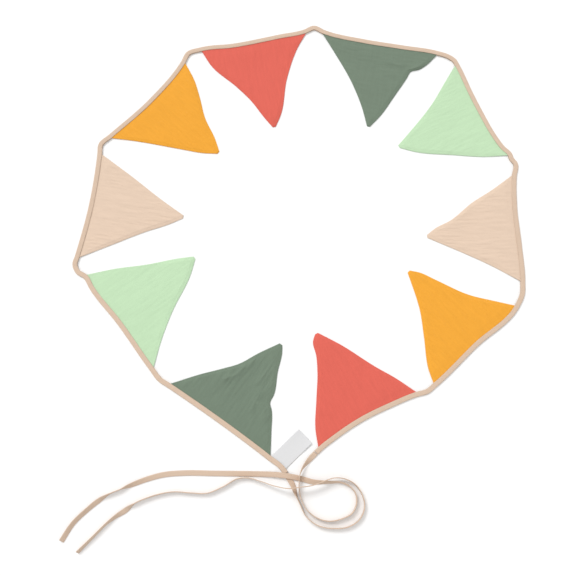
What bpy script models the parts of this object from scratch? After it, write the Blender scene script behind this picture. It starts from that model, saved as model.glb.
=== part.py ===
"""Fabric bunting: ten three-cornered gauze pennants held by their bases in the fold of a
cotton binding tape. It lies on a table as an open ring, points inward, with its two free
tape ends looped together and drawn off to the left.

Metres, +Z up. The origin is on the table, under the middle of the ring. The tables below
are in millimetres, as a cutting plan would be, and MM turns them into metres.
"""

from collections import namedtuple
from math import radians, sin

import bpy
import numpy as np

MM = 0.001

# Flags
FLAG_THICK = 1.0  # two layers of double gauze
FLAG_TIP_WIDTH = 5.0  # a turned point is a little blunt
FLAG_SETTLE = 0.17  # the share of a flag's depth over which it comes down from the fold
FLAG_CELLS_ACROSS = 8
FLAG_CELLS_ALONG = 10
TONGUE_DEPTH = 5.0  # how far a base reaches into the tape's fold
TONGUE_CELLS = 2

# Binding tape
TAPE_WIDTH = 8.0
TAPE_LEG = 0.6  # one thickness of the tape
FIT_GAP = 0.3  # clear space between sewn pieces
FOLD_BACK = 0.8  # the closed side of the fold
FOLD_LOW = TAPE_LEG + FIT_GAP  # the underside of what lies in the fold
TAPE_HEIGHT = 2 * FOLD_LOW + FLAG_THICK
TAPE_TURN_STEP = 7.0  # between sections where the tape turns, from flag to flag

# Ties: the same tape, folded and sewn shut
TIE_THICK = 1.4
TIE_STEP = 18.0
TIE_ROUND_STEPS = 2

# Care label
LABEL_THICK = 1.0
LABEL_BASE = ((-40, -348), (-20, -369))  # its two corners at the tape's inner edge
LABEL_LENGTH = 55.0
LABEL_SETTLE = 14.0  # the length over which it comes down from the fold
LABEL_CELLS_ACROSS = 3
LABEL_CELLS_ALONG = 6

# A flag's corners lie on the tape's inner edge. The tape dips towards the tip by the base's
# offsets, at shares of the way from the start to the end. The two sides bow outwards by their
# offsets, at shares of the way from the base corner to the tip.
Flag = namedtuple("Flag", "cloth start end tip base start_side end_side")
FLAGS = (
    Flag(
        "green", (-44, -349), (-199, -240), (-28, -178), (),
        ((0.22, -2.5), (0.40, -5.5), (0.46, -9.0), (0.54, -4.5), (0.75, -2.5), (0.94, 1)),
        ((0.25, -2), (0.46, -6), (0.60, -8), (0.80, -3)),
    ),
    Flag(
        "mint", (-227, -214), (-339, -66), (-168, -37), ((0.50, 1), (0.88, -2)),
        ((0.25, -4), (0.50, -4), (0.85, 2)),
        ((0.25, 2), (0.55, 0), (0.88, 1)),
    ),
    Flag(
        "beige", (-353, -36), (-326, 140), (-188, 32), ((0.50, 4.5),),
        ((0.30, -0.5), (0.64, -1), (0.85, 1)),
        ((0.35, 0.5), (0.75, -1)),
    ),
    Flag(
        "orange", (-311, 170), (-193, 306), (-133, 144), ((0.50, 7),),
        ((0.20, -1), (0.67, 1.5), (0.86, 2.5)),
        ((0.20, 4), (0.40, 2), (0.62, -2), (0.86, 1)),
    ),
    Flag(
        "red", (-165, 329), (13, 363), (-40, 190), ((0.30, 3.5), (0.75, 1.5)),
        ((0.17, 5), (0.48, -2), (0.65, -4), (0.90, -0.5)),
        ((0.15, -5.5), (0.50, -7), (0.88, 2)),
    ),
    Flag(
        "green", (44, 362), (238, 322), (118, 191), ((0.35, 3.5), (0.70, 1.5)),
        ((0.19, -4), (0.56, -9), (0.82, -6)),
        ((0.16, -1.5), (0.23, -5), (0.30, -13), (0.38, -10.5), (0.60, -5), (0.85, 0.5)),
    ),
    Flag(
        "mint", (268, 302), (348, 139), (168, 155),
        ((0.33, 5), (0.55, 7), (0.76, 7.5), (0.92, 4.5)),
        ((0.20, -2.5), (0.45, -6), (0.85, -2.5)),
        ((0.20, 5), (0.50, 6), (0.86, 5)),
    ),
    Flag(
        "beige", (353, 103), (355, -76), (209, -1), ((0.30, 3.5), (0.65, 1)),
        ((0.28, -0.5), (0.45, 1), (0.75, -2.5), (0.90, 1)),
        ((0.35, -3), (0.60, -2.5), (0.85, -1)),
    ),
    Flag(
        "orange", (344, -115), (209, -239), (177, -60), ((0.50, 1),),
        ((0.17, -3), (0.42, -7), (0.75, -1), (0.91, 2)),
        ((0.12, 2.5), (0.40, -2), (0.65, -5.5), (0.90, -2)),
    ),
    Flag(
        "red", (181, -253), (30, -336), (28, -161), ((0.27, 5.5), (0.54, 8), (0.85, 4)),
        ((0.22, 2), (0.40, 1), (0.78, 2.5)),
        ((0.15, 3.5), (0.40, 1), (0.66, -2), (0.80, -1), (0.94, 3.5)),
    ),
)

# Where the middle of the tape runs before, between and after the flags.
TAPE_ENDS = ((-20, -376), (26, -345))
TAPE_BETWEEN = (
    ((-26, -368),),
    ((-217, -233),),
    ((-354, -61), (-360, -48)),
    ((-329, 158),),
    ((-188, 325),),
    ((28, 374),),
    ((256, 320), (268, 311)),
    ((354, 133), (360, 124)),
    ((357, -97),),
    ((199, -252),),
    (),
)

# Main folds that stand up from a flag: where each starts and ends as (share along the base,
# share of the way to the tip), its height and the width of its ridge.
Fold = namedtuple("Fold", "flag a b height width")
FOLDS = (
    Fold(1, (0.20, 0.34), (0.08, 0.62), 4.0, 16),
    Fold(1, (0.30, 0.50), (0.52, 0.72), 3.0, 14),
    Fold(1, (0.66, 0.42), (0.82, 0.66), 3.0, 14),
    Fold(6, (0.98, 0.28), (0.60, 0.20), 4.0, 16),
    Fold(6, (0.90, 0.40), (0.55, 0.34), 2.5, 14),
)

# Ties: the middle of the tape, its roll in degrees (0 flat, 90 on edge) and the height of
# what it lies on. The lift rises in long low humps where one strand crosses another.
Lay = namedtuple("Lay", "x y roll lift")
TIE_LEFT = (
    Lay(-19.5, -376.7, 0, 0.7),
    Lay(-14.5, -385, 4, 0.4),
    Lay(-9.5, -394, 20, 0),
    Lay(-6.5, -403, 50, 0),
    Lay(-3.5, -411, 80, 0),
    Lay(1, -421, 90, 0),
    Lay(9.5, -438, 90, 0),
    Lay(28, -452, 90, 0),
    Lay(51, -456, 90, 0),
    Lay(74, -453.5, 90, 0),
    Lay(90, -443, 90, 0),
    Lay(98, -424, 90, 0),
    Lay(95, -408, 88, 0),
    Lay(84, -392, 86, 1),
    Lay(70, -384.5, 86, 3),
    Lay(54, -382.5, 88, 6),
    Lay(42, -385.5, 90, 8),
    Lay(32, -389.5, 90, 9),
    Lay(17, -394, 90, 10),
    Lay(-1, -396.3, 90, 10.8),
    Lay(-14, -398, 90, 9.6),
    Lay(-35, -395, 90, 5.5),
    Lay(-59, -387.5, 88, 1.6),
    Lay(-78, -382.6, 85, 0),
    Lay(-92, -383.6, 85, 0),
    Lay(-114, -395, 90, 0),
    Lay(-139, -405, 90, 0),
    Lay(-164, -404.5, 90, 0),
    Lay(-189, -403, 88, 0),
    Lay(-220, -409, 85, 0),
    Lay(-250, -421.5, 80, 0),
    Lay(-261, -430, 20, 0),
    Lay(-275, -439, 50, 0),
    Lay(-288, -449, 72, 0),
    Lay(-306, -467, 72, 0),
    Lay(-329.5, -490.5, 60, 0),
)
TIE_RIGHT = (
    Lay(25.4, -345.6, 0, 0.7),
    Lay(18, -353, 15, 0.7),
    Lay(10, -362, 50, 1.2),
    Lay(4, -370.5, 75, 2.4),
    Lay(0.5, -380, 90, 3.2),
    Lay(-0.3, -390, 90, 2.2),
    Lay(-0.2, -400, 90, 0.8),
    Lay(1.6, -410, 90, 0),
    Lay(7.5, -424, 90, 0),
    Lay(20, -437, 90, 0),
    Lay(43, -445.5, 90, 0),
    Lay(64, -442, 90, 0),
    Lay(79, -434, 88, 0),
    Lay(86, -419, 86, 0),
    Lay(84.5, -405, 86, 0),
    Lay(76, -395, 84, 0),
    Lay(63, -389.5, 76, 0),
    Lay(48, -389, 62, 0),
    Lay(32, -389, 44, 0),
    Lay(21, -388.5, 20, 0),
    Lay(8, -385.2, 4, 0.2),
    Lay(-6, -381.8, 0, 1.6),
    Lay(-19, -379.6, 0, 3.4),
    Lay(-34, -377.8, 0, 3.2),
    Lay(-52, -377, 0, 1),
    Lay(-76, -376.5, 0, 0),
    Lay(-127, -376, 0, 0),
    Lay(-176, -375.5, 0, 0),
    Lay(-206, -378, 5, 0),
    Lay(-232, -385, 20, 0),
    Lay(-256, -394, 45, 0),
    Lay(-270, -399.5, 90, 0),
    Lay(-288, -407, 80, 0),
    Lay(-302, -416, 35, 0),
    Lay(-318, -429, 40, 0),
    Lay(-338, -448.5, 40, 0),
    Lay(-354.5, -474.5, 30, 0),
)

# Colour as linear RGB, roughness; nothing here is metal.
CLOTHS = {
    "green": ((0.16, 0.21, 0.15), 0.9),
    "mint": ((0.58, 0.82, 0.52), 0.9),
    "beige": ((0.85, 0.66, 0.50), 0.9),
    "orange": ((0.98, 0.43, 0.045), 0.9),
    "red": ((0.78, 0.13, 0.09), 0.9),
    "tape": ((0.70, 0.52, 0.40), 0.85),
    "label": ((0.80, 0.80, 0.80), 0.45),
}


def distances(points):
    """How far along the straight lines through the points each one lies."""
    steps = np.linalg.norm(np.diff(np.array(points, float)[:, :2], axis=0), axis=1)
    return np.concatenate([[0.0], np.cumsum(steps)])


def smooth(points, at):
    """A curve through the points, read at distances along them.

    Each stretch is a cubic whose slope at each end is that of the parabola through three
    neighbouring points.
    """
    p = np.array(points, float)
    t = distances(points)
    gap = np.diff(t)
    chord = np.diff(p, axis=0) / gap[:, None]
    before, after = gap[:-1, None], gap[1:, None]
    inner = (chord[:-1] * after + chord[1:] * before) / (before + after)
    slope = np.concatenate([chord[:1], inner, chord[-1:]])
    i = np.clip(np.searchsorted(t, at, side="right") - 1, 0, len(gap) - 1)
    h = gap[i][:, None]
    s = (at - t[i])[:, None] / h
    return (
        (2 * s**3 - 3 * s**2 + 1) * p[i]
        + (s**3 - 2 * s**2 + s) * h * slope[i]
        + (3 * s**2 - 2 * s**3) * p[i + 1]
        + (s**3 - s**2) * h * slope[i + 1]
    )


def evenly(length, step):
    """Distances from 0 to length, as near to step apart as divides it."""
    return np.linspace(0, length, max(1, round(length / step)) + 1)


def outward(flag):
    """The direction square to a flag's base that points away from its tip."""
    start, end, tip = (np.array(p, float) for p in (flag.start, flag.end, flag.tip))
    base = end - start
    side = np.array([base[1], -base[0]]) / np.linalg.norm(base)
    return -side if side @ (tip - start) > 0 else side


def base_line(flag):
    """Points along the middle of the tape over one flag, from its start to its end."""
    start, end = np.array(flag.start, float), np.array(flag.end, float)
    out = outward(flag)
    dips = ((0, 0), *flag.base, (1, 0))
    return [start + share * (end - start) + (TAPE_WIDTH / 2 - dip) * out for share, dip in dips]


def tape_route():
    """The points that the middle of the tape passes through, and each flag's first and last."""
    route, spans = [TAPE_ENDS[0]], []
    for flag, before in zip(FLAGS, TAPE_BETWEEN):
        route += before
        base = base_line(flag)
        spans.append((len(route), len(route) + len(base) - 1))
        route += base
    return [*route, *TAPE_BETWEEN[-1], TAPE_ENDS[1]], spans


def base_reads():
    """For each flag, the distances along the tape's route at which its columns stand."""
    route, spans = tape_route()
    t = distances(route)
    return [np.linspace(t[a], t[b], FLAG_CELLS_ACROSS + 1) for a, b in spans]


def tape_reads():
    """Where the tape's sections stand: at each flag's columns, and closer where it turns."""
    route, _ = tape_route()
    end = distances(route)[-1]
    reads, last = [], 0.0
    for columns in base_reads():
        reads += [last + evenly(columns[0] - last, TAPE_TURN_STEP)[:-1], columns[:-1]]
        last = columns[-1]
    return np.concatenate([*reads, last + evenly(end - last, TAPE_TURN_STEP)])


def tape_at(reads):
    """The middle of the tape at distances along its route, and the way to the ring's inside."""
    route, _ = tape_route()
    near = 0.5
    run = smooth(route, reads + near) - smooth(route, reads - near)
    run /= np.linalg.norm(run, axis=1)[:, None]
    return smooth(route, reads), np.stack([run[:, 1], -run[:, 0]], axis=1)


def material(name):
    """A Principled material for one kind of cloth, made once."""
    if name in bpy.data.materials:
        return bpy.data.materials[name]
    colour, roughness = CLOTHS[name]
    made = bpy.data.materials.new(name)
    made.use_nodes = True
    shader = made.node_tree.nodes["Principled BSDF"]
    shader.inputs["Base Color"].default_value = (*colour, 1.0)
    shader.inputs["Roughness"].default_value = roughness
    shader.inputs["Metallic"].default_value = 0.0
    return made


def keep(name, data, cloth, collection):
    """Put a finished mesh or curve in the scene as a named part."""
    part = bpy.data.objects.new(name, data)
    data.materials.append(material(cloth))
    collection.objects.link(part)
    return part


def sheet(name, rows, thick, cloth, collection):
    """A closed sheet from a grid of points on its underside, thickened upwards."""
    rows = np.asarray(rows, float) * MM
    down, along = rows.shape[:2]
    index = np.arange(down * along).reshape(down, along)
    corners = (index[:-1, :-1], index[:-1, 1:], index[1:, 1:], index[1:, :-1])
    faces = np.stack(corners, axis=-1).reshape(-1, 4)
    diagonals = rows[1, 1] - rows[0, 0], rows[1, 0] - rows[0, 1]
    if np.cross(*diagonals)[2] < 0:
        faces = faces[:, ::-1]
    mesh = bpy.data.meshes.new(name)
    mesh.from_pydata(rows.reshape(-1, 3).tolist(), [], faces.tolist())
    part = keep(name, mesh, cloth, collection)
    wall = part.modifiers.new("thickness", "SOLIDIFY")
    wall.thickness = thick * MM
    wall.offset = 1.0
    return part


def side_line(corner, tip, bows, inside):
    """One side of a flag from base corner to tip, bowed away from a point inside the flag."""
    length = np.linalg.norm(tip - corner)
    run = (tip - corner) / length
    out = np.array([run[1], -run[0]])
    if out @ (inside - corner) > 0:
        out = -out
    table = [(0, 0), *((share * length, bow) for share, bow in bows), (length, 0)]
    line = smooth(table, evenly(distances(table)[-1], 1.0))
    at = np.linspace(0, length, FLAG_CELLS_ALONG + 1)
    bow = np.interp(at, line[:, 0], line[:, 1])
    return corner + at[:, None] * run + bow[:, None] * out


def at_share(points, u, v, share):
    """The grid point nearest a share of the base and a share of the way to the tip."""
    nearest = np.argmin((u - share[0]) ** 2 + (v - share[1]) ** 2)
    return points.reshape(-1, 2)[nearest]


def rise(points, u, v, number):
    """How far a flag's main folds lift its points."""
    lift = np.zeros(u.shape)
    for fold in (f for f in FOLDS if f.flag == number):
        ends = [at_share(points, u, v, share) for share in (fold.a, fold.b)]
        run = ends[1] - ends[0]
        along = ((points - ends[0]) @ run) / (run @ run)
        nearest = ends[0] + np.clip(along, 0, 1)[..., None] * run
        away = np.linalg.norm(points - nearest, axis=-1)
        lift += fold.height * np.exp(-((away / (fold.width / 2)) ** 2))
    return lift


def flag_rows(number, flag):
    """The underside of one flag as rows of points, from inside the tape's fold to the tip."""
    start, end, tip = (np.array(p, float) for p in (flag.start, flag.end, flag.tip))
    base, inward = tape_at(base_reads()[number - 1])
    edge = base + inward * TAPE_WIDTH / 2
    blunt = (end - start) / np.linalg.norm(end - start) * FLAG_TIP_WIDTH / 2
    inside = (start + end + tip) / 3
    start_side = side_line(edge[0], tip - blunt, flag.start_side, inside)
    end_side = side_line(edge[-1], tip + blunt, flag.end_side, inside)

    u, v = np.meshgrid(
        np.linspace(0, 1, FLAG_CELLS_ACROSS + 1), np.linspace(0, 1, FLAG_CELLS_ALONG + 1)
    )
    straight_base = edge[0] * (1 - u[..., None]) + edge[-1] * u[..., None]
    flat = start_side[:, None] * (1 - u[..., None]) + end_side[:, None] * u[..., None]
    flat += (edge[None] - straight_base) * (1 - v[..., None]) ** 2
    height = FOLD_LOW * np.clip(1 - v / FLAG_SETTLE, 0, 1) + rise(flat, u, v, number)

    depths = np.linspace(TONGUE_DEPTH, 0, TONGUE_CELLS, endpoint=False)
    tongue = edge[None] - inward[None] * depths[:, None, None]
    tongue = np.dstack([tongue, np.full(tongue.shape[:2], FOLD_LOW)])
    return np.concatenate([tongue, np.dstack([flat, height])])


def flags(collection):
    """Ten pennants, each a thin sheet whose base reaches into the tape's fold."""
    for number, flag in enumerate(FLAGS, 1):
        rows = flag_rows(number, flag)
        sheet(f"flag_{number:02d}", rows, FLAG_THICK, flag.cloth, collection)


def binding_tape(collection, guides):
    """The tape folded over the bases: one U section carried round the ring, open inwards."""
    half, back = TAPE_WIDTH / 2, TAPE_WIDTH / 2 - FOLD_BACK
    top, slot = TAPE_HEIGHT / 2, TAPE_HEIGHT / 2 - TAPE_LEG
    section = (
        (half, -top), (-half, -top), (-half, top), (half, top),
        (half, slot), (-back, slot), (-back, -slot), (half, -slot),
    )
    profile = bpy.data.curves.new("tape section", "CURVE")
    profile.dimensions = "2D"
    outline = profile.splines.new("POLY")
    outline.points.add(len(section) - 1)
    for point, (x, y) in zip(outline.points, section):
        point.co = (x * MM, y * MM, 0, 1)
    outline.use_cyclic_u = True
    guide = bpy.data.objects.new("tape section", profile)
    guide.hide_render = True
    guide.display_type = "WIRE"
    guides.objects.link(guide)

    path, _ = tape_at(tape_reads())
    curve = bpy.data.curves.new("binding_tape", "CURVE")
    curve.dimensions = "3D"
    curve.twist_mode = "Z_UP"
    curve.bevel_mode = "OBJECT"
    curve.bevel_object = guide
    curve.use_fill_caps = True
    run = curve.splines.new("POLY")
    run.points.add(len(path) - 1)
    for point, (x, y) in zip(run.points, path):
        point.co = (x * MM, y * MM, TAPE_HEIGHT / 2 * MM, 1)
    keep("binding_tape", curve, "tape", collection)


def tie(name, lays, collection):
    """A free end of the tape: a flat band that rolls between lying flat and standing on edge."""
    rows = [(lay.x, lay.y, lay.lift, lay.roll) for lay in lays]
    path = smooth(rows, evenly(distances(rows)[-1], TIE_STEP))
    curve = bpy.data.curves.new(name, "CURVE")
    curve.dimensions = "3D"
    curve.twist_mode = "Z_UP"
    curve.extrude = (TAPE_WIDTH - TIE_THICK) / 2 * MM
    curve.bevel_depth = TIE_THICK / 2 * MM
    curve.bevel_resolution = TIE_ROUND_STEPS
    curve.use_fill_caps = True
    run = curve.splines.new("POLY")
    run.points.add(len(path) - 1)
    for point, (x, y, lift, roll) in zip(run.points, path):
        turn = radians(min(max(roll, 0), 90))
        half_height = (TAPE_WIDTH - TIE_THICK) / 2 * sin(turn) + TIE_THICK / 2
        point.co = (x * MM, y * MM, (max(lift, 0) + half_height) * MM, 1)
        point.tilt = radians(90) - turn
    keep(name, curve, "tape", collection)


def care_label(collection):
    """A plain satin tab, one end caught in the tape's fold beside the first flag."""
    near = np.array(LABEL_BASE, float)
    run = near[1] - near[0]
    inward = np.array([-run[1], run[0]]) / np.linalg.norm(run)
    across = np.linspace(0, 1, LABEL_CELLS_ACROSS + 1)
    line = near[0] + across[:, None] * run
    reach = np.linspace(-TONGUE_DEPTH, LABEL_LENGTH, LABEL_CELLS_ALONG + 1)
    flat = line[None] + reach[:, None, None] * inward
    height = FOLD_LOW * np.clip(1 - reach / LABEL_SETTLE, 0, 1)
    rows = np.dstack([flat, np.repeat(height[:, None], len(across), axis=1)])
    sheet("care_label", rows, LABEL_THICK, "label", collection)


def build():
    """Clear the scene and make every part of the bunting."""
    for old in list(bpy.data.objects):
        bpy.data.objects.remove(old, do_unlink=True)
    collection = bpy.data.collections.new("fabric bunting")
    guides = bpy.data.collections.new("guides")
    for made in (collection, guides):
        bpy.context.scene.collection.children.link(made)
    binding_tape(collection, guides)
    flags(collection)
    tie("tie_left", TIE_LEFT, collection)
    tie("tie_right", TIE_RIGHT, collection)
    care_label(collection)


build()
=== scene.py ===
"""Fabric bunting on a white table: ten gauze pennants held in a folded cotton binding tape.

Metres, +Z up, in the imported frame. The pieces' own sizes are in millimetres, and MM turns
them into metres.
"""

from collections import namedtuple
from math import radians

import bpy
import numpy as np
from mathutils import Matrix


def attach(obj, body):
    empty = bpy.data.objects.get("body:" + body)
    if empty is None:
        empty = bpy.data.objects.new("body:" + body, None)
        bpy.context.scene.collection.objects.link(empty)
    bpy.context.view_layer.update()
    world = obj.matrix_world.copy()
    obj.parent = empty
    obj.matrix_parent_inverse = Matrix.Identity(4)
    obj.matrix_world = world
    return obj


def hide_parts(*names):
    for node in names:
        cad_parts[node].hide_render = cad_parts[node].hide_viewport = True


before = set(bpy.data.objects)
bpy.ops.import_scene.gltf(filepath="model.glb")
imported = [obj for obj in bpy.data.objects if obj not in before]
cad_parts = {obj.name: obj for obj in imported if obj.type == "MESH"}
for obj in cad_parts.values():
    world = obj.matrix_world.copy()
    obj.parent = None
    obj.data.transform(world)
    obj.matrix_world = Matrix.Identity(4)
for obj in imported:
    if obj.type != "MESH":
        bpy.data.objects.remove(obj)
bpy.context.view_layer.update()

# Camera: it looks almost straight down at the table, from a little towards the near side.
view = bpy.data.cameras.new("camera")
view.lens = 50
view.sensor_width = 36
camera = bpy.data.objects.new("camera", view)
camera.location = (-0.017, -0.37494, 1.24719)
camera.rotation_euler = (radians(13), 0, 0)
bpy.context.scene.collection.objects.link(camera)
bpy.context.scene.camera = camera

# Ties: the two free ends of the cotton tape, folded in half and sewn shut near the open edge,
# so each is one flat band with cut ends. They lie loosely looped, and roll between lying flat
# and standing on edge.
MM = 0.001
UV_UNIT = 100.0  # one unit of a piece's UV, in mm
TAPE_WIDTH = 8.0
TIE_THICK = 1.4
TIE_STEP = 2.0
TIE_AROUND = 24
TIE_EDGE_POWER = 0.35  # below 1 squares off the section's narrow edges
TIE_FACE_POWER = 0.6
TIE_PRESSED = 0.95  # a pressed band is this share of its full thickness
TIE_SEAM_IN = 1.5  # from the open edge to the stitches
TAPE_COLOUR = (0.64, 0.485, 0.37)
THREAD_COLOUR = (0.70, 0.56, 0.44)
THREAD_THICK = 0.35
THREAD_SIDES = 6
THREAD_STEPS = 6
THREAD_SINK = 0.9  # how far a stitch's ends go into the cloth, in thread thicknesses
STITCH_PITCH = 3.0
STITCH_LENGTH = 2.3
YARN_HEIGHT = 0.3
DYE_STRETCH = (22, 3, 1)  # uneven dye changes fast across the yarns and slowly along them
WAVE_RADIANS = 20.0  # how far a wave texture turns in one unit at a scale of 1
UPRIGHT = np.array([0, 0, 1.0])

# The middle of each tie, its roll in degrees (0 flat, 90 on edge) and the height of what it
# lies on. The lift rises in long low humps where one strand crosses another.
Lay = namedtuple("Lay", "x y roll lift")
TIE_LEFT = (
    Lay(-19.5, -376.7, 0, 0.7),
    Lay(-14.5, -385, 4, 0.4),
    Lay(-9.5, -394, 20, 0),
    Lay(-6.5, -403, 50, 0),
    Lay(-3.5, -411, 80, 0),
    Lay(1, -421, 90, 0),
    Lay(9.5, -438, 90, 0),
    Lay(28, -452, 90, 0),
    Lay(51, -456, 90, 0),
    Lay(74, -453.5, 90, 0),
    Lay(90, -443, 90, 0),
    Lay(98, -424, 90, 0),
    Lay(95, -408, 88, 0),
    Lay(84, -392, 86, 1),
    Lay(70, -384.5, 86, 3),
    Lay(54, -382.5, 88, 6),
    Lay(42, -385.5, 90, 8),
    Lay(32, -389.5, 90, 9),
    Lay(17, -394, 90, 10),
    Lay(-1, -396.3, 90, 10.8),
    Lay(-14, -398, 90, 9.6),
    Lay(-35, -395, 90, 5.5),
    Lay(-59, -387.5, 88, 1.6),
    Lay(-78, -382.6, 85, 0),
    Lay(-92, -383.6, 85, 0),
    Lay(-114, -395, 90, 0),
    Lay(-139, -405, 90, 0),
    Lay(-164, -404.5, 90, 0),
    Lay(-189, -403, 88, 0),
    Lay(-220, -409, 85, 0),
    Lay(-250, -421.5, 80, 0),
    Lay(-261, -430, 20, 0),
    Lay(-275, -439, 50, 0),
    Lay(-288, -449, 72, 0),
    Lay(-306, -467, 72, 0),
    Lay(-329.5, -490.5, 60, 0),
)
TIE_RIGHT = (
    Lay(25.4, -345.6, 0, 0.7),
    Lay(18, -353, 15, 0.7),
    Lay(10, -362, 50, 1.2),
    Lay(4, -370.5, 75, 2.4),
    Lay(0.5, -380, 90, 3.2),
    Lay(-0.3, -390, 90, 2.2),
    Lay(-0.2, -400, 90, 0.8),
    Lay(1.6, -410, 90, 0),
    Lay(7.5, -424, 90, 0),
    Lay(20, -437, 90, 0),
    Lay(43, -445.5, 90, 0),
    Lay(64, -442, 90, 0),
    Lay(79, -434, 88, 0),
    Lay(86, -419, 86, 0),
    Lay(84.5, -405, 86, 0),
    Lay(76, -395, 84, 0),
    Lay(63, -389.5, 76, 0),
    Lay(48, -389, 62, 0),
    Lay(32, -389, 44, 0),
    Lay(21, -388.5, 20, 0),
    Lay(8, -385.2, 4, 0.2),
    Lay(-6, -381.8, 0, 1.6),
    Lay(-19, -379.6, 0, 3.4),
    Lay(-34, -377.8, 0, 3.2),
    Lay(-52, -377, 0, 1),
    Lay(-76, -376.5, 0, 0),
    Lay(-127, -376, 0, 0),
    Lay(-176, -375.5, 0, 0),
    Lay(-206, -378, 5, 0),
    Lay(-232, -385, 20, 0),
    Lay(-256, -394, 45, 0),
    Lay(-270, -399.5, 90, 0),
    Lay(-288, -407, 80, 0),
    Lay(-302, -416, 35, 0),
    Lay(-318, -429, 40, 0),
    Lay(-338, -448.5, 40, 0),
    Lay(-354.5, -474.5, 30, 0),
)


def distances(points):
    """How far along the straight lines through the points each one lies."""
    steps = np.linalg.norm(np.diff(np.array(points, float)[:, :2], axis=0), axis=1)
    return np.concatenate([[0.0], np.cumsum(steps)])


def smooth(points, at):
    """A curve through the points, read at distances along them.

    Each stretch is a cubic whose slope at each end is that of the parabola through three
    neighbouring points.
    """
    p = np.array(points, float)
    t = distances(points)
    gap = np.diff(t)
    chord = np.diff(p, axis=0) / gap[:, None]
    before, after = gap[:-1, None], gap[1:, None]
    inner = (chord[:-1] * after + chord[1:] * before) / (before + after)
    slope = np.concatenate([chord[:1], inner, chord[-1:]])
    i = np.clip(np.searchsorted(t, at, side="right") - 1, 0, len(gap) - 1)
    h = gap[i][:, None]
    s = (at - t[i])[:, None] / h
    return (
        (2 * s**3 - 3 * s**2 + 1) * p[i]
        + (s**3 - 2 * s**2 + s) * h * slope[i]
        + (3 * s**2 - 2 * s**3) * p[i + 1]
        + (s**3 - s**2) * h * slope[i + 1]
    )


def evenly(length, step):
    """Distances from 0 to length, as near to step apart as divides it."""
    return np.linspace(0, length, max(1, round(length / step)) + 1)


def cloth(name, colour, roughness, weave, streak, depth):
    """A woven cotton: a plain weave of the given pitch in mm, with soft uneven dyeing.

    The colour runs from one streak's share darker to the same share lighter with a noise
    stretched along the yarns. The bump is the higher of two waves across each other in the
    piece's own UV, one turn to each yarn.
    """
    made = bpy.data.materials.new(name)
    made.use_nodes = True
    nodes, links = made.node_tree.nodes, made.node_tree.links
    shader = nodes["Principled BSDF"]
    shader.inputs["Roughness"].default_value = roughness
    shader.inputs["Sheen Weight"].default_value = 0.15
    shader.inputs["Specular IOR Level"].default_value = 0.15
    uv = nodes.new("ShaderNodeUVMap")

    stretch = nodes.new("ShaderNodeMapping")
    stretch.inputs["Scale"].default_value = DYE_STRETCH
    uneven = nodes.new("ShaderNodeTexNoise")
    uneven.inputs["Scale"].default_value = 1.0
    uneven.inputs["Detail"].default_value = 4.0
    dye = nodes.new("ShaderNodeMix")
    dye.data_type = "RGBA"
    dye.inputs["A"].default_value = (*(c * (1 - streak) for c in colour), 1)
    dye.inputs["B"].default_value = (*(min(c * (1 + streak), 1) for c in colour), 1)
    links.new(uv.outputs["UV"], stretch.inputs["Vector"])
    links.new(stretch.outputs["Vector"], uneven.inputs["Vector"])
    links.new(uneven.outputs["Fac"], dye.inputs["Factor"])
    links.new(dye.outputs["Result"], shader.inputs["Base Color"])

    crossed = nodes.new("ShaderNodeMath")
    crossed.operation = "MAXIMUM"
    for number, direction in enumerate(("X", "Y")):
        yarns = nodes.new("ShaderNodeTexWave")
        yarns.bands_direction = direction
        yarns.inputs["Scale"].default_value = 2 * np.pi * UV_UNIT / weave / WAVE_RADIANS
        yarns.inputs["Distortion"].default_value = 1.5
        yarns.inputs["Detail"].default_value = 2.0
        links.new(uv.outputs["UV"], yarns.inputs["Vector"])
        links.new(yarns.outputs["Fac"], crossed.inputs[number])
    bump = nodes.new("ShaderNodeBump")
    bump.inputs["Strength"].default_value = depth
    bump.inputs["Distance"].default_value = YARN_HEIGHT * MM
    links.new(crossed.outputs["Value"], bump.inputs["Height"])
    links.new(bump.outputs["Normal"], shader.inputs["Normal"])
    return made


def piece(name, points, faces, uv, finish):
    """One piece from its points in mm, four-cornered faces and a UV in mm for each point."""
    mesh = bpy.data.meshes.new(name)
    mesh.from_pydata((points * MM).tolist(), [], faces.tolist())
    corner = np.empty(len(mesh.loops), np.int32)
    mesh.loops.foreach_get("vertex_index", corner)
    layer = mesh.uv_layers.new(name="UVMap")
    layer.data.foreach_set("uv", (uv[corner] / UV_UNIT).astype(np.float32).ravel())
    mesh.polygons.foreach_set("use_smooth", np.ones(len(mesh.polygons), bool))
    mesh.materials.append(finish)
    mesh.validate()
    made = bpy.data.objects.new(name, mesh)
    bpy.context.scene.collection.objects.link(made)
    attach(made, "root")
    return made


def tube_faces(sections, around):
    """Faces of a closed tube: a wall between neighbouring sections, and strips over its ends.

    A strip joins the points as far from one edge of the section on its two sides.
    """
    index = np.arange(sections * around).reshape(sections, around)
    turned = np.roll(index, -1, axis=1)
    walls = np.stack([index[:-1], turned[:-1], turned[1:], index[1:]], axis=-1).reshape(-1, 4)
    half = np.arange(around // 2 - 1)
    strips = np.column_stack([half, half + 1, around - 2 - half, around - 1 - half])
    return np.concatenate([walls, index[0][strips[:, ::-1]], index[-1][strips]])


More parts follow.
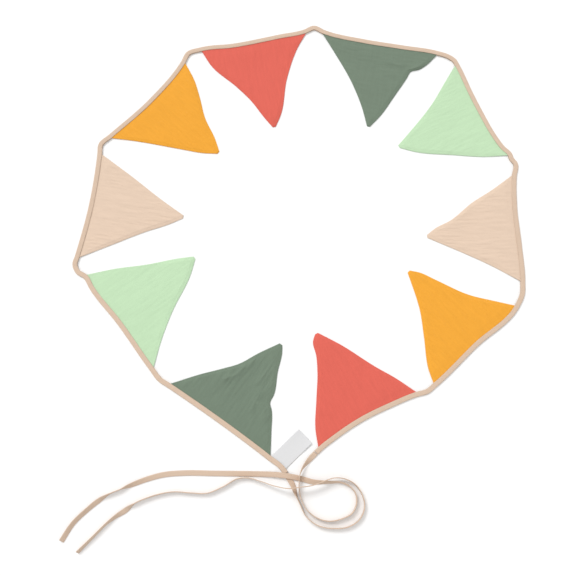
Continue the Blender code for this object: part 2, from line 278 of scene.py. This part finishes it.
def stitches(name, path, right, up, finish):
    """A row of short thread dashes along a path, each a little spindle with many flat sides.

    A dash's middle stands on the path, and its height falls with the cube of the distance
    from its middle, so that its ends go into the cloth.
    """
    along = np.concatenate([[0], np.cumsum(np.linalg.norm(np.diff(path, axis=0), axis=1))])
    starts = np.arange(STITCH_PITCH, along[-1] - STITCH_PITCH, STITCH_PITCH)
    shares = np.linspace(0, 1, THREAD_STEPS)
    sink = THREAD_THICK * THREAD_SINK * (2 * np.abs(shares - 0.5)) ** 3
    reads = starts[:, None] + shares * STITCH_LENGTH
    at, side, high = (
        np.stack([np.interp(reads, along, line[:, axis]) for axis in range(3)], axis=-1)
        for line in (path, right, up)
    )
    turn = np.arange(THREAD_SIDES) * 2 * np.pi / THREAD_SIDES
    ring = np.cos(turn)[:, None] * side[:, :, None] + np.sin(turn)[:, None] * high[:, :, None]
    middle = at - high * sink[:, None]
    points = (middle[:, :, None] + ring * THREAD_THICK / 2).reshape(-1, 3)
    first = THREAD_STEPS * THREAD_SIDES * np.arange(len(starts))[:, None, None]
    faces = tube_faces(THREAD_STEPS, THREAD_SIDES) + first
    return piece(name, points, faces.reshape(-1, 4), points[:, :2], finish)


def tie_lie(lays):
    """How a tie lies: its middle line, and the directions across its width and through it.

    The line is the smooth curve through the lays. It stands above its lift by half the band's
    straight width times the sine of its roll, and half its thickness. Across starts level, to
    the right of the line, and turns up with the roll. Through is square to it.
    """
    rows = [(lay.x, lay.y, lay.lift, lay.roll) for lay in lays]
    read = smooth(rows, evenly(distances(rows)[-1], TIE_STEP))
    roll = np.radians(np.clip(read[:, 3], 0, 90))
    stand = (TAPE_WIDTH - TIE_THICK) / 2 * np.sin(roll) + TIE_THICK / 2
    path = np.column_stack([read[:, :2], np.maximum(read[:, 2], 0) + stand])
    run = np.gradient(path, axis=0)
    right = np.column_stack([run[:, 1], -run[:, 0], 0 * run[:, 0]])
    right /= np.linalg.norm(right, axis=1)[:, None]
    across = np.cos(roll)[:, None] * right + np.sin(roll)[:, None] * UPRIGHT
    through = -np.sin(roll)[:, None] * right + np.cos(roll)[:, None] * UPRIGHT
    return path, across, through


tape_cotton = cloth("tape cotton", TAPE_COLOUR, roughness=0.85, weave=0.6, streak=0.05, depth=0.5)
thread = cloth("sewing thread", THREAD_COLOUR, roughness=0.8, weave=0.3, streak=0.03, depth=0.3)

# A tie's section is an oval with squared-off corners: a power below 1 of the circle's cosine
# and sine.
turn = np.arange(TIE_AROUND) * 2 * np.pi / TIE_AROUND
tie_wide = np.sign(np.cos(turn)) * np.abs(np.cos(turn)) ** TIE_EDGE_POWER * TAPE_WIDTH / 2
tie_thick = np.sign(np.sin(turn)) * np.abs(np.sin(turn)) ** TIE_FACE_POWER * TIE_THICK / 2
tie_thick *= TIE_PRESSED
for tie_name, lays in (("tie_left", TIE_LEFT), ("tie_right", TIE_RIGHT)):
    path, across, through = tie_lie(lays)
    section = tie_wide[:, None] * across[:, None] + tie_thick[:, None] * through[:, None]
    points = (path[:, None] + section).reshape(-1, 3)
    uv = np.dstack(np.meshgrid(tie_wide, distances(path))).reshape(-1, 2)
    faces = tube_faces(len(path), TIE_AROUND)
    tie = piece(tie_name + "_band", points, faces, uv, tape_cotton)
    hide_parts(tie_name)
    row = path + across * (TAPE_WIDTH / 2 - TIE_SEAM_IN) + through * TIE_THICK / 2
    seam = stitches(tie_name + "_stitches", row, across, through, thread)

# Binding: one strip of cotton folded lengthwise over the pennants' bases, open towards the
# inside of the ring, and sewn through near its inner edge. It puckers a little at the seam.
TAPE_LEG = 0.6  # one thickness of the tape
FOLD_LOW = 0.9  # the underside of what lies in the fold
FOLD_RADIUS = 1.1
FOLD_AXIS = (-2.5, 1.4)  # the fold's middle: inward from the middle of the tape, and height
FOLD_STEPS = 9
LEG_END = 3.85  # from the middle of the tape in to both cut edges
LEG_STEPS = 10
LOW_LEG = 0.3  # heights of the two legs' middles
TOP_LEG = 2.35
CROWN = 0.22
CROWN_OUT = -3.6  # the crown rises from here and comes down over CROWN_SPAN
CROWN_SPAN = 7.6
RING_STEP = 2.0
PUCKERS = ((0.14, 6, 3), (0.1, 25, 4))  # height, spacing along the tape and seed
PUCKER_REACH = 1.2  # the puckers fade in over this height above the fold's middle
STRIP_STEP = 0.62  # about the width of cloth from one point of the section to the next
RING_SEAM_IN = 2.6  # from the middle of the tape in to the stitches
RING_SEAM_UP = 0.17

# A pennant's corners lie on the tape's inner edge. The tape dips towards the tip by the base's
# offsets, at shares of the way from the start to the end. The two sides bow outwards by their
# offsets, at shares of the way from the base corner to the tip.
Flag = namedtuple("Flag", "cloth start end tip base start_side end_side")
FLAGS = (
    Flag(
        "green", (-44, -349), (-199, -240), (-28, -178), (),
        ((0.22, -2.5), (0.40, -5.5), (0.46, -9.0), (0.54, -4.5), (0.75, -2.5), (0.94, 1)),
        ((0.25, -2), (0.46, -6), (0.60, -8), (0.80, -3)),
    ),
    Flag(
        "mint", (-227, -214), (-339, -66), (-168, -37), ((0.50, 1), (0.88, -2)),
        ((0.25, -4), (0.50, -4), (0.85, 2)),
        ((0.25, 2), (0.55, 0), (0.88, 1)),
    ),
    Flag(
        "beige", (-353, -36), (-326, 140), (-188, 32), ((0.50, 4.5),),
        ((0.30, -0.5), (0.64, -1), (0.85, 1)),
        ((0.35, 0.5), (0.75, -1)),
    ),
    Flag(
        "orange", (-311, 170), (-193, 306), (-133, 144), ((0.50, 7),),
        ((0.20, -1), (0.67, 1.5), (0.86, 2.5)),
        ((0.20, 4), (0.40, 2), (0.62, -2), (0.86, 1)),
    ),
    Flag(
        "red", (-165, 329), (13, 363), (-40, 190), ((0.30, 3.5), (0.75, 1.5)),
        ((0.17, 5), (0.48, -2), (0.65, -4), (0.90, -0.5)),
        ((0.15, -5.5), (0.50, -7), (0.88, 2)),
    ),
    Flag(
        "green", (44, 362), (238, 322), (118, 191), ((0.35, 3.5), (0.70, 1.5)),
        ((0.19, -4), (0.56, -9), (0.82, -6)),
        ((0.16, -1.5), (0.23, -5), (0.30, -13), (0.38, -10.5), (0.60, -5), (0.85, 0.5)),
    ),
    Flag(
        "mint", (268, 302), (348, 139), (168, 155),
        ((0.33, 5), (0.55, 7), (0.76, 7.5), (0.92, 4.5)),
        ((0.20, -2.5), (0.45, -6), (0.85, -2.5)),
        ((0.20, 5), (0.50, 6), (0.86, 5)),
    ),
    Flag(
        "beige", (353, 103), (355, -76), (209, -1), ((0.30, 3.5), (0.65, 1)),
        ((0.28, -0.5), (0.45, 1), (0.75, -2.5), (0.90, 1)),
        ((0.35, -3), (0.60, -2.5), (0.85, -1)),
    ),
    Flag(
        "orange", (344, -115), (209, -239), (177, -60), ((0.50, 1),),
        ((0.17, -3), (0.42, -7), (0.75, -1), (0.91, 2)),
        ((0.12, 2.5), (0.40, -2), (0.65, -5.5), (0.90, -2)),
    ),
    Flag(
        "red", (181, -253), (30, -336), (28, -161), ((0.27, 5.5), (0.54, 8), (0.85, 4)),
        ((0.22, 2), (0.40, 1), (0.78, 2.5)),
        ((0.15, 3.5), (0.40, 1), (0.66, -2), (0.80, -1), (0.94, 3.5)),
    ),
)

# Where the middle of the tape runs before, between and after the pennants.
TAPE_ENDS = ((-20, -376), (26, -345))
TAPE_BETWEEN = (
    ((-26, -368),),
    ((-217, -233),),
    ((-354, -61), (-360, -48)),
    ((-329, 158),),
    ((-188, 325),),
    ((28, 374),),
    ((256, 320), (268, 311)),
    ((354, 133), (360, 124)),
    ((357, -97),),
    ((199, -252),),
    (),
)


def outward(flag):
    """The direction square to a pennant's base that points away from its tip."""
    start, end, tip = (np.array(p, float) for p in (flag.start, flag.end, flag.tip))
    base = end - start
    side = np.array([base[1], -base[0]]) / np.linalg.norm(base)
    return -side if side @ (tip - start) > 0 else side


def base_line(flag):
    """Points along the middle of the tape over one pennant, from its start to its end."""
    start, end = np.array(flag.start, float), np.array(flag.end, float)
    out = outward(flag)
    dips = ((0, 0), *flag.base, (1, 0))
    return [start + share * (end - start) + (TAPE_WIDTH / 2 - dip) * out for share, dip in dips]


def tape_route():
    """The points that the middle of the tape passes through, and each pennant's first and last."""
    route, spans = [TAPE_ENDS[0]], []
    for flag, before in zip(FLAGS, TAPE_BETWEEN):
        route += before
        base = base_line(flag)
        spans.append((len(route), len(route) + len(base) - 1))
        route += base
    return [*route, *TAPE_BETWEEN[-1], TAPE_ENDS[1]], spans


def tape_at(reads):
    """The middle of the tape at distances along its route, and the way to the ring's inside.

    The way in is the route's direction, between points half a millimetre either side, turned
    a quarter turn to its right.
    """
    route, _ = tape_route()
    near = 0.5
    run = smooth(route, reads + near) - smooth(route, reads - near)
    run /= np.linalg.norm(run, axis=1)[:, None]
    return smooth(route, reads), np.stack([run[:, 1], -run[:, 0]], axis=1)


def unevenness(x, y, seed):
    """Smooth random heights from -1 to 1: a lattice one apart, joined by cubic steps."""
    size = 256
    table = np.random.default_rng(seed).uniform(-1, 1, (size, size))
    i, j = np.floor(x).astype(int), np.floor(y).astype(int)
    s, t = x - i, y - j
    s, t = s * s * (3 - 2 * s), t * t * (3 - 2 * t)
    i, j = i % (size - 1), j % (size - 1)
    near = table[i, j] * (1 - s) + table[i + 1, j] * s
    far = table[i, j + 1] * (1 - s) + table[i + 1, j + 1] * s
    return near * (1 - t) + far * t


def folded_section():
    """The middle line of the folded strip, across the tape: in along the top and out below.

    Each point is its distance in from the middle of the tape and its height. The top leg is
    crowned by half a sine wave, the closed side is half a circle, and the low leg is flat.
    """
    leg = np.linspace(LEG_END, FOLD_AXIS[0], LEG_STEPS)[:-1]
    bend = np.linspace(np.pi / 2, 3 * np.pi / 2, FOLD_STEPS)
    crown = CROWN * np.sin(np.pi * (leg - CROWN_OUT) / CROWN_SPAN)
    fold = FOLD_AXIS + FOLD_RADIUS * np.column_stack([np.cos(bend), np.sin(bend)])
    top = np.column_stack([leg, TOP_LEG + crown])
    low = np.column_stack([leg[::-1], np.full(leg.shape, LOW_LEG)])
    return np.concatenate([top, fold, low])


ring_length = distances(tape_route()[0])[-1]
reads = evenly(ring_length, RING_STEP)
middle, inward = tape_at(reads)
line = folded_section()
step = np.gradient(line, axis=0)
step /= np.linalg.norm(step, axis=1)[:, None]
square = np.column_stack([step[:, 1], -step[:, 0]]) * TAPE_LEG / 2
loop = np.concatenate([line + square, (line - square)[::-1]])
pucker = sum(
    height * unevenness(reads / spacing, 0 * reads, seed) for height, spacing, seed in PUCKERS
)
upper = np.clip(loop[:, 1] - FOLD_AXIS[1], 0, PUCKER_REACH) / PUCKER_REACH
flat = middle[:, None] + inward[:, None] * loop[None, :, :1]
points = np.dstack([flat, loop[None, :, 1] + pucker[:, None] * upper]).reshape(-1, 3)
around_strip = np.arange(len(line)) * STRIP_STEP
around_strip = np.concatenate([around_strip, around_strip[::-1]])
uv = np.dstack(np.meshgrid(around_strip, reads)).reshape(-1, 2)
faces = tube_faces(len(reads), len(loop))[:, ::-1]
binding = piece("binding_strip", points, faces, uv, tape_cotton)
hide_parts("binding_tape")
row_height = TOP_LEG + TAPE_LEG / 2 + RING_SEAM_UP + pucker
row = np.column_stack([middle + inward * RING_SEAM_IN, row_height])
side = np.column_stack([inward, 0 * reads])
seam = stitches("binding_stitches", row, side, np.tile(UPRIGHT, (len(reads), 1)), thread)

# Pennants: each is two layers of crinkled double gauze, sewn, turned and pressed, so its edges
# are rounded with a seam allowance showing inside. The base is sewn into the binding's fold.
FLAG_THICK = 1.0
FLAG_TIP_WIDTH = 5.0
FLAG_SETTLE = 0.17  # the share of the depth over which it comes down from the fold
TONGUE_DEPTH = 4.6
TONGUE_ROWS = 4
FLAG_ROWS = 90
FLAG_COLUMNS = 150
EDGE_CROWDING = 0.75  # 0 spaces the columns evenly, and 1 crowds them at the two sides
SIDE_LEAN = 0.87  # cosine of half the angle at the tip
TURNED_EDGE = 0.6  # the edge's rounding reaches this far in
THIN_EDGE = 0.05  # the least share of the thickness, at the edge itself
TIP_EDGE = 0.02  # how far from the edge the last row counts as lying
SEAM_IN = 1.6  # the pressed seam allowance: its middle, half width and extra thickness
SEAM_HALF_WIDTH = 1.3
SEAM_EXTRA = 0.35
SEAM_FADE_IN = 20
FREE_DEPTH = 12  # crinkles grow over these distances from the base and from the other edges
FREE_RIM = 6
CRINKLE_HEIGHT = 0.75
CRINKLE_FINE_SHARE = 0.5
CRINKLE_COARSE = (3.2, 26)  # spacing across the lines, and along them
CRINKLE_FINE = (1.7, 14)
CRINKLE_LIFT = 1.2  # how far crinkled cloth stands up, for each unit of strength
WANDER = 2.2
WANDER_SPACING = 30
SWELL = 1.1
SWELL_SPACING = 45
SWELL_DEPTH = 25
LYING_HEIGHT = 0.55
LYING_GAP = 0.03
COLOURS = {
    "green": (0.168, 0.22, 0.163),
    "mint": (0.51, 0.70, 0.46),
    "beige": (0.72, 0.555, 0.43),
    "orange": (0.82, 0.365, 0.037),
    "red": (0.70, 0.13, 0.095),
}
# For each pennant: how strongly it crinkles, and whether the lines run along the base.
CRINKLES = (
    (0.5, False), (0.2, False), (0.55, False), (0.45, False), (0.3, False),
    (0.4, True), (0.2, False), (0.6, False), (0.5, False), (0.4, False),
)
# Sharp creases by pennant: the points of each one, and its ridge's height and width.
CREASES = {
    1: (
        (((-86, -215), (-98, -227), (-116, -233)), 2.6, 5.0),
        (((-72, -205), (-80, -215)), 1.6, 4.0),
        (((-54, -226), (-65, -240)), 1.5, 4.0),
        (((-59, -252), (-67, -266), (-73, -280)), 2.4, 5.0),
        (((-65, -270), (-57, -278), (-52, -291)), 2.2, 5.0),
        (((-46, -267), (-45, -280)), 1.6, 4.0),
        (((-185, -247), (-174, -240)), 1.0, 5.0),
    ),
    6: (
        (((218, 302), (199, 296), (191, 290)), 2.0, 6.0),
        (((174, 302), (149, 310)), 1.4, 6.0),
        (((165, 286), (140, 295)), 1.0, 6.0),
    ),
}
CREASE_POWER = 1.3  # lower is sharper at the top of the ridge


def side_line(corner, tip, bows, inside, shares):
    """One side of a pennant: its straight side plus a smooth bow away from a point inside."""
    length = np.linalg.norm(tip - corner)
    run = (tip - corner) / length
    out = np.array([run[1], -run[0]])
    if out @ (inside - corner) > 0:
        out = -out
    table = [(0, 0), *((share * length, bow) for share, bow in bows), (length, 0)]
    line = smooth(table, evenly(distances(table)[-1], 1.0))
    bow = np.interp(shares * length, line[:, 0], line[:, 1])
    return corner + shares[:, None] * length * run + bow[:, None] * out


def pennant_plan(flag, span, u, v):
    """Places of a pennant's grid on the table, and each one's shares along base and depth.

    Between the sides the rows are straight. The base's own curve is added to them, fading
    with the square of the share still to go. The rows of the tongue run into the fold.
    """
    start, end, tip = (np.array(p, float) for p in (flag.start, flag.end, flag.tip))
    base, inward = tape_at(span[0] + u * (span[1] - span[0]))
    edge = base + inward * TAPE_WIDTH / 2
    blunt = (end - start) / np.linalg.norm(end - start) * FLAG_TIP_WIDTH / 2
    inside = (start + end + tip) / 3
    start_side = side_line(edge[0], tip - blunt, flag.start_side, inside, v)
    end_side = side_line(edge[-1], tip + blunt, flag.end_side, inside, v)
    uu, vv = np.meshgrid(u, v)
    straight = edge[0] * (1 - uu[..., None]) + edge[-1] * uu[..., None]
    plan = start_side[:, None] * (1 - uu[..., None]) + end_side[:, None] * uu[..., None]
    plan += (edge[None] - straight) * (1 - vv[..., None]) ** 2
    depths = np.linspace(TONGUE_DEPTH, 0, TONGUE_ROWS + 1)[:-1]
    tongue = edge[None] - inward[None] * depths[:, None, None]
    uu = np.concatenate([uu[:TONGUE_ROWS], uu])
    vv = np.concatenate([np.zeros((TONGUE_ROWS, len(u))), vv])
    return np.concatenate([tongue, plan]), uu, vv


def crease_rise(plan, creases):
    """Height of sharp ridges: a narrow bell of the distance from each crease's broken line."""
    lift = np.zeros(plan.shape[:2])
    for bends, height, width in creases:
        bends = np.array(bends, float)
        away = np.full(lift.shape, np.inf)
        for a, run in zip(bends, np.diff(bends, axis=0)):
            share = np.clip(((plan - a) @ run) / (run @ run), 0, 1)
            away = np.minimum(away, np.linalg.norm(plan - a - share[..., None] * run, axis=-1))
        lift = np.maximum(lift, height * np.exp(-((away / width) ** CREASE_POWER)))
    return lift


def crinkle(across, down, number):
    """Uneven lines of crinkled gauze: coarse and fine long ridges with a shared wander."""
    wander = WANDER * unevenness(across / WANDER_SPACING, down / WANDER_SPACING, 40 + number)
    line = across + wander
    coarse = unevenness(line / CRINKLE_COARSE[0], down / CRINKLE_COARSE[1], 10 + number)
    fine = unevenness(line / CRINKLE_FINE[0], down / CRINKLE_FINE[1], 20 + number)
    return coarse + CRINKLE_FINE_SHARE * fine


def pennant_body(number, plan, uu, vv, along, reach):
    """Heights of a pennant's middle surface, and half its thickness there.

    The middle comes down from the fold and then lies near the table, lifted by crinkles,
    creases and broad swells that fade out at the edges. The thickness is a quarter circle at
    the edge, with a flat-topped bell added for the seam allowance.
    """
    depth = vv * reach
    width = np.linalg.norm(plan[:, -1] - plan[:, 0], axis=1)[:, None]
    to_side = np.minimum(uu, 1 - uu) * width * SIDE_LEAN
    rim = np.minimum(to_side, (1 - vv) * reach + TIP_EDGE)
    free = np.clip(depth / FREE_DEPTH, 0, 1) * np.clip(rim / FREE_RIM, 0, 1)
    strength, along_base = CRINKLES[number - 1]
    lines = crinkle(depth, along, number) if along_base else crinkle(along, depth, number)
    ridges = strength * CRINKLE_HEIGHT * lines
    uneven = unevenness(along / SWELL_SPACING, depth / SWELL_SPACING, 30 + number)
    swell = SWELL * (1 + uneven) * np.clip(depth / SWELL_DEPTH, 0, 1)
    sharp = crease_rise(plan, CREASES.get(number, ()))
    settle = FOLD_LOW * np.clip(1 - vv / FLAG_SETTLE, 0, 1)

    rounding = np.sqrt(np.clip(1 - (1 - np.clip(rim / TURNED_EDGE, 0, 1)) ** 2, 0, 1))
    seam = SEAM_EXTRA * np.exp(-(((rim - SEAM_IN) / SEAM_HALF_WIDTH) ** 4))
    seam *= np.clip(vv * SEAM_FADE_IN, 0, 1)
    half = FLAG_THICK / 2 * np.clip(rounding, THIN_EDGE, 1) * (1 + seam)
    lift = (ridges + sharp + swell + strength * CRINKLE_LIFT) * free
    body = np.maximum(settle + LYING_HEIGHT + lift, half + LYING_GAP)
    return np.where(vv == 0, FOLD_LOW + FLAG_THICK / 2, body), half


def closed_sheet(plan, top, bottom):
    """Points and faces of a sheet over a plan: its top, its underside and the wall between.

    The faces are turned over where the plan's grid runs the other way round.
    """
    index = np.arange(top.size).reshape(top.shape)
    corners = (index[:-1, :-1], index[:-1, 1:], index[1:, 1:], index[1:, :-1])
    upper = np.stack(corners, axis=-1).reshape(-1, 4)
    rim = np.concatenate([index[0, :-1], index[:-1, -1], index[-1, :0:-1], index[:0:-1, 0]])
    after = np.roll(rim, -1)
    walls = np.stack([rim, rim + top.size, after + top.size, after], axis=-1)
    faces = np.concatenate([upper, upper[:, ::-1] + top.size, walls])
    row, column = top.shape[0] // 2, top.shape[1] // 2
    cell = plan[row : row + 2, column : column + 2]
    one, other = cell[1, 1] - cell[0, 0], cell[1, 0] - cell[0, 1]
    if one[0] * other[1] - one[1] * other[0] < 0:
        faces = faces[:, ::-1]
    layers = [np.dstack([plan, height]).reshape(-1, 3) for height in (top, bottom)]
    return np.concatenate(layers), faces


gauzes = {
    name: cloth(name + " gauze", colour, roughness=0.9, weave=0.9, streak=0.07, depth=0.6)
    for name, colour in COLOURS.items()
}
route, spans = tape_route()
places = distances(route)
even = np.linspace(0, 1, FLAG_COLUMNS)
u = even - EDGE_CROWDING * np.sin(2 * np.pi * even) / (2 * np.pi)
v = np.linspace(0, 1, FLAG_ROWS)
for number, flag in enumerate(FLAGS, 1):
    start, end, tip = (np.array(p, float) for p in (flag.start, flag.end, flag.tip))
    base_width = np.linalg.norm(end - start)
    reach = np.linalg.norm(tip - (start + end) / 2)
    plan, uu, vv = pennant_plan(flag, places[list(spans[number - 1])], u, v)
    along = (plan - start) @ (end - start) / base_width
    body, half = pennant_body(number, plan, uu, vv, along, reach)
    points, faces = closed_sheet(plan, body + half, body - half)
    uv = np.tile(np.dstack([along, vv * reach]).reshape(-1, 2), (2, 1))
    pennant = piece(f"pennant_{number:02d}", points, faces, uv, gauzes[flag.cloth])
    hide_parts(f"flag_{number:02d}")

# Care label: a plain white satin ribbon tab with cut ends, caught in the fold beside the
# first pennant. It carries nothing and curls a little at its free end.
LABEL_BASE = ((-40, -348), (-20, -369))  # its two corners at the tape's inner edge
LABEL_WIDTH = 29.0
LABEL_LENGTH = 55.0
LABEL_THICK = 0.24
LABEL_SETTLE = 14.0  # the length over which it comes down from the fold
LABEL_CURL = 1.2  # the free end's rise, and how much more its two corners have
LABEL_CORNER_CURL = 1.0
LABEL_WAVE = 0.3
LABEL_WAVE_LENGTH = 9.0
LABEL_LYING = 0.15
near, far = np.array(LABEL_BASE, float)
run = far - near
label_inward = np.array([-run[1], run[0]]) / np.linalg.norm(run)
across, reach = np.meshgrid(
    np.linspace(0, 1, 31), np.linspace(-TONGUE_DEPTH, LABEL_LENGTH, 61)
)
plan = near + across[..., None] * run + reach[..., None] * label_inward
free = np.clip(reach, 0, LABEL_LENGTH)

# The label comes straight down from the fold. Its end curls up with the square of the way
# along, more at the sides, over a low wave.
settle = FOLD_LOW * np.clip(1 - reach / LABEL_SETTLE, 0, 1)
curl = (free / LABEL_LENGTH) ** 2 * (LABEL_CURL + LABEL_CORNER_CURL * (2 * across - 1) ** 2)
wave = LABEL_WAVE * np.sin(free / LABEL_WAVE_LENGTH) ** 2
body = settle + curl + wave + LABEL_LYING
points, faces = closed_sheet(plan, body + LABEL_THICK / 2, body - LABEL_THICK / 2)
uv = np.tile(np.dstack([across * LABEL_WIDTH, reach]).reshape(-1, 2), (2, 1))
satin = cloth(
    "white satin", (0.66, 0.66, 0.665), roughness=0.45, weave=0.4, streak=0.02, depth=0.15
)
tab = piece("care_label_tab", points, faces, uv, satin)
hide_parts("care_label")

# Table: a smooth white surface just under the bunting, big enough to fill the view.
TABLE_HALF = 6.0
TABLE_TOP = -0.0003
table_corners = [
    (x * TABLE_HALF, y * TABLE_HALF, TABLE_TOP) for x, y in ((-1, -1), (1, -1), (1, 1), (-1, 1))
]
table_mesh = bpy.data.meshes.new("table")
table_mesh.from_pydata(table_corners, [], [(0, 1, 2, 3)])
table = bpy.data.objects.new("table", table_mesh)
bpy.context.scene.collection.objects.link(table)
white = bpy.data.materials.new("white table")
white.use_nodes = True
white_shader = white.node_tree.nodes["Principled BSDF"]
white_shader.inputs["Base Color"].default_value = (0.9, 0.9, 0.9, 1)
white_shader.inputs["Roughness"].default_value = 0.9
table_mesh.materials.append(white)

# Light: an even white surround, and one broad soft lamp from the far left.
world = bpy.data.worlds.new("surround")
world.use_nodes = True
surround = world.node_tree.nodes["Background"]
surround.inputs["Color"].default_value = (1, 1, 1, 1)
surround.inputs["Strength"].default_value = 0.85
bpy.context.scene.world = world
lamp = bpy.data.lights.new("broad lamp", "SUN")
lamp.energy = 1.5
lamp.angle = radians(25)
sun = bpy.data.objects.new("broad lamp", lamp)
sun.rotation_euler = (radians(-32), radians(-30), 0)
bpy.context.scene.collection.objects.link(sun)
bpy.context.scene.view_settings.view_transform = "Standard"
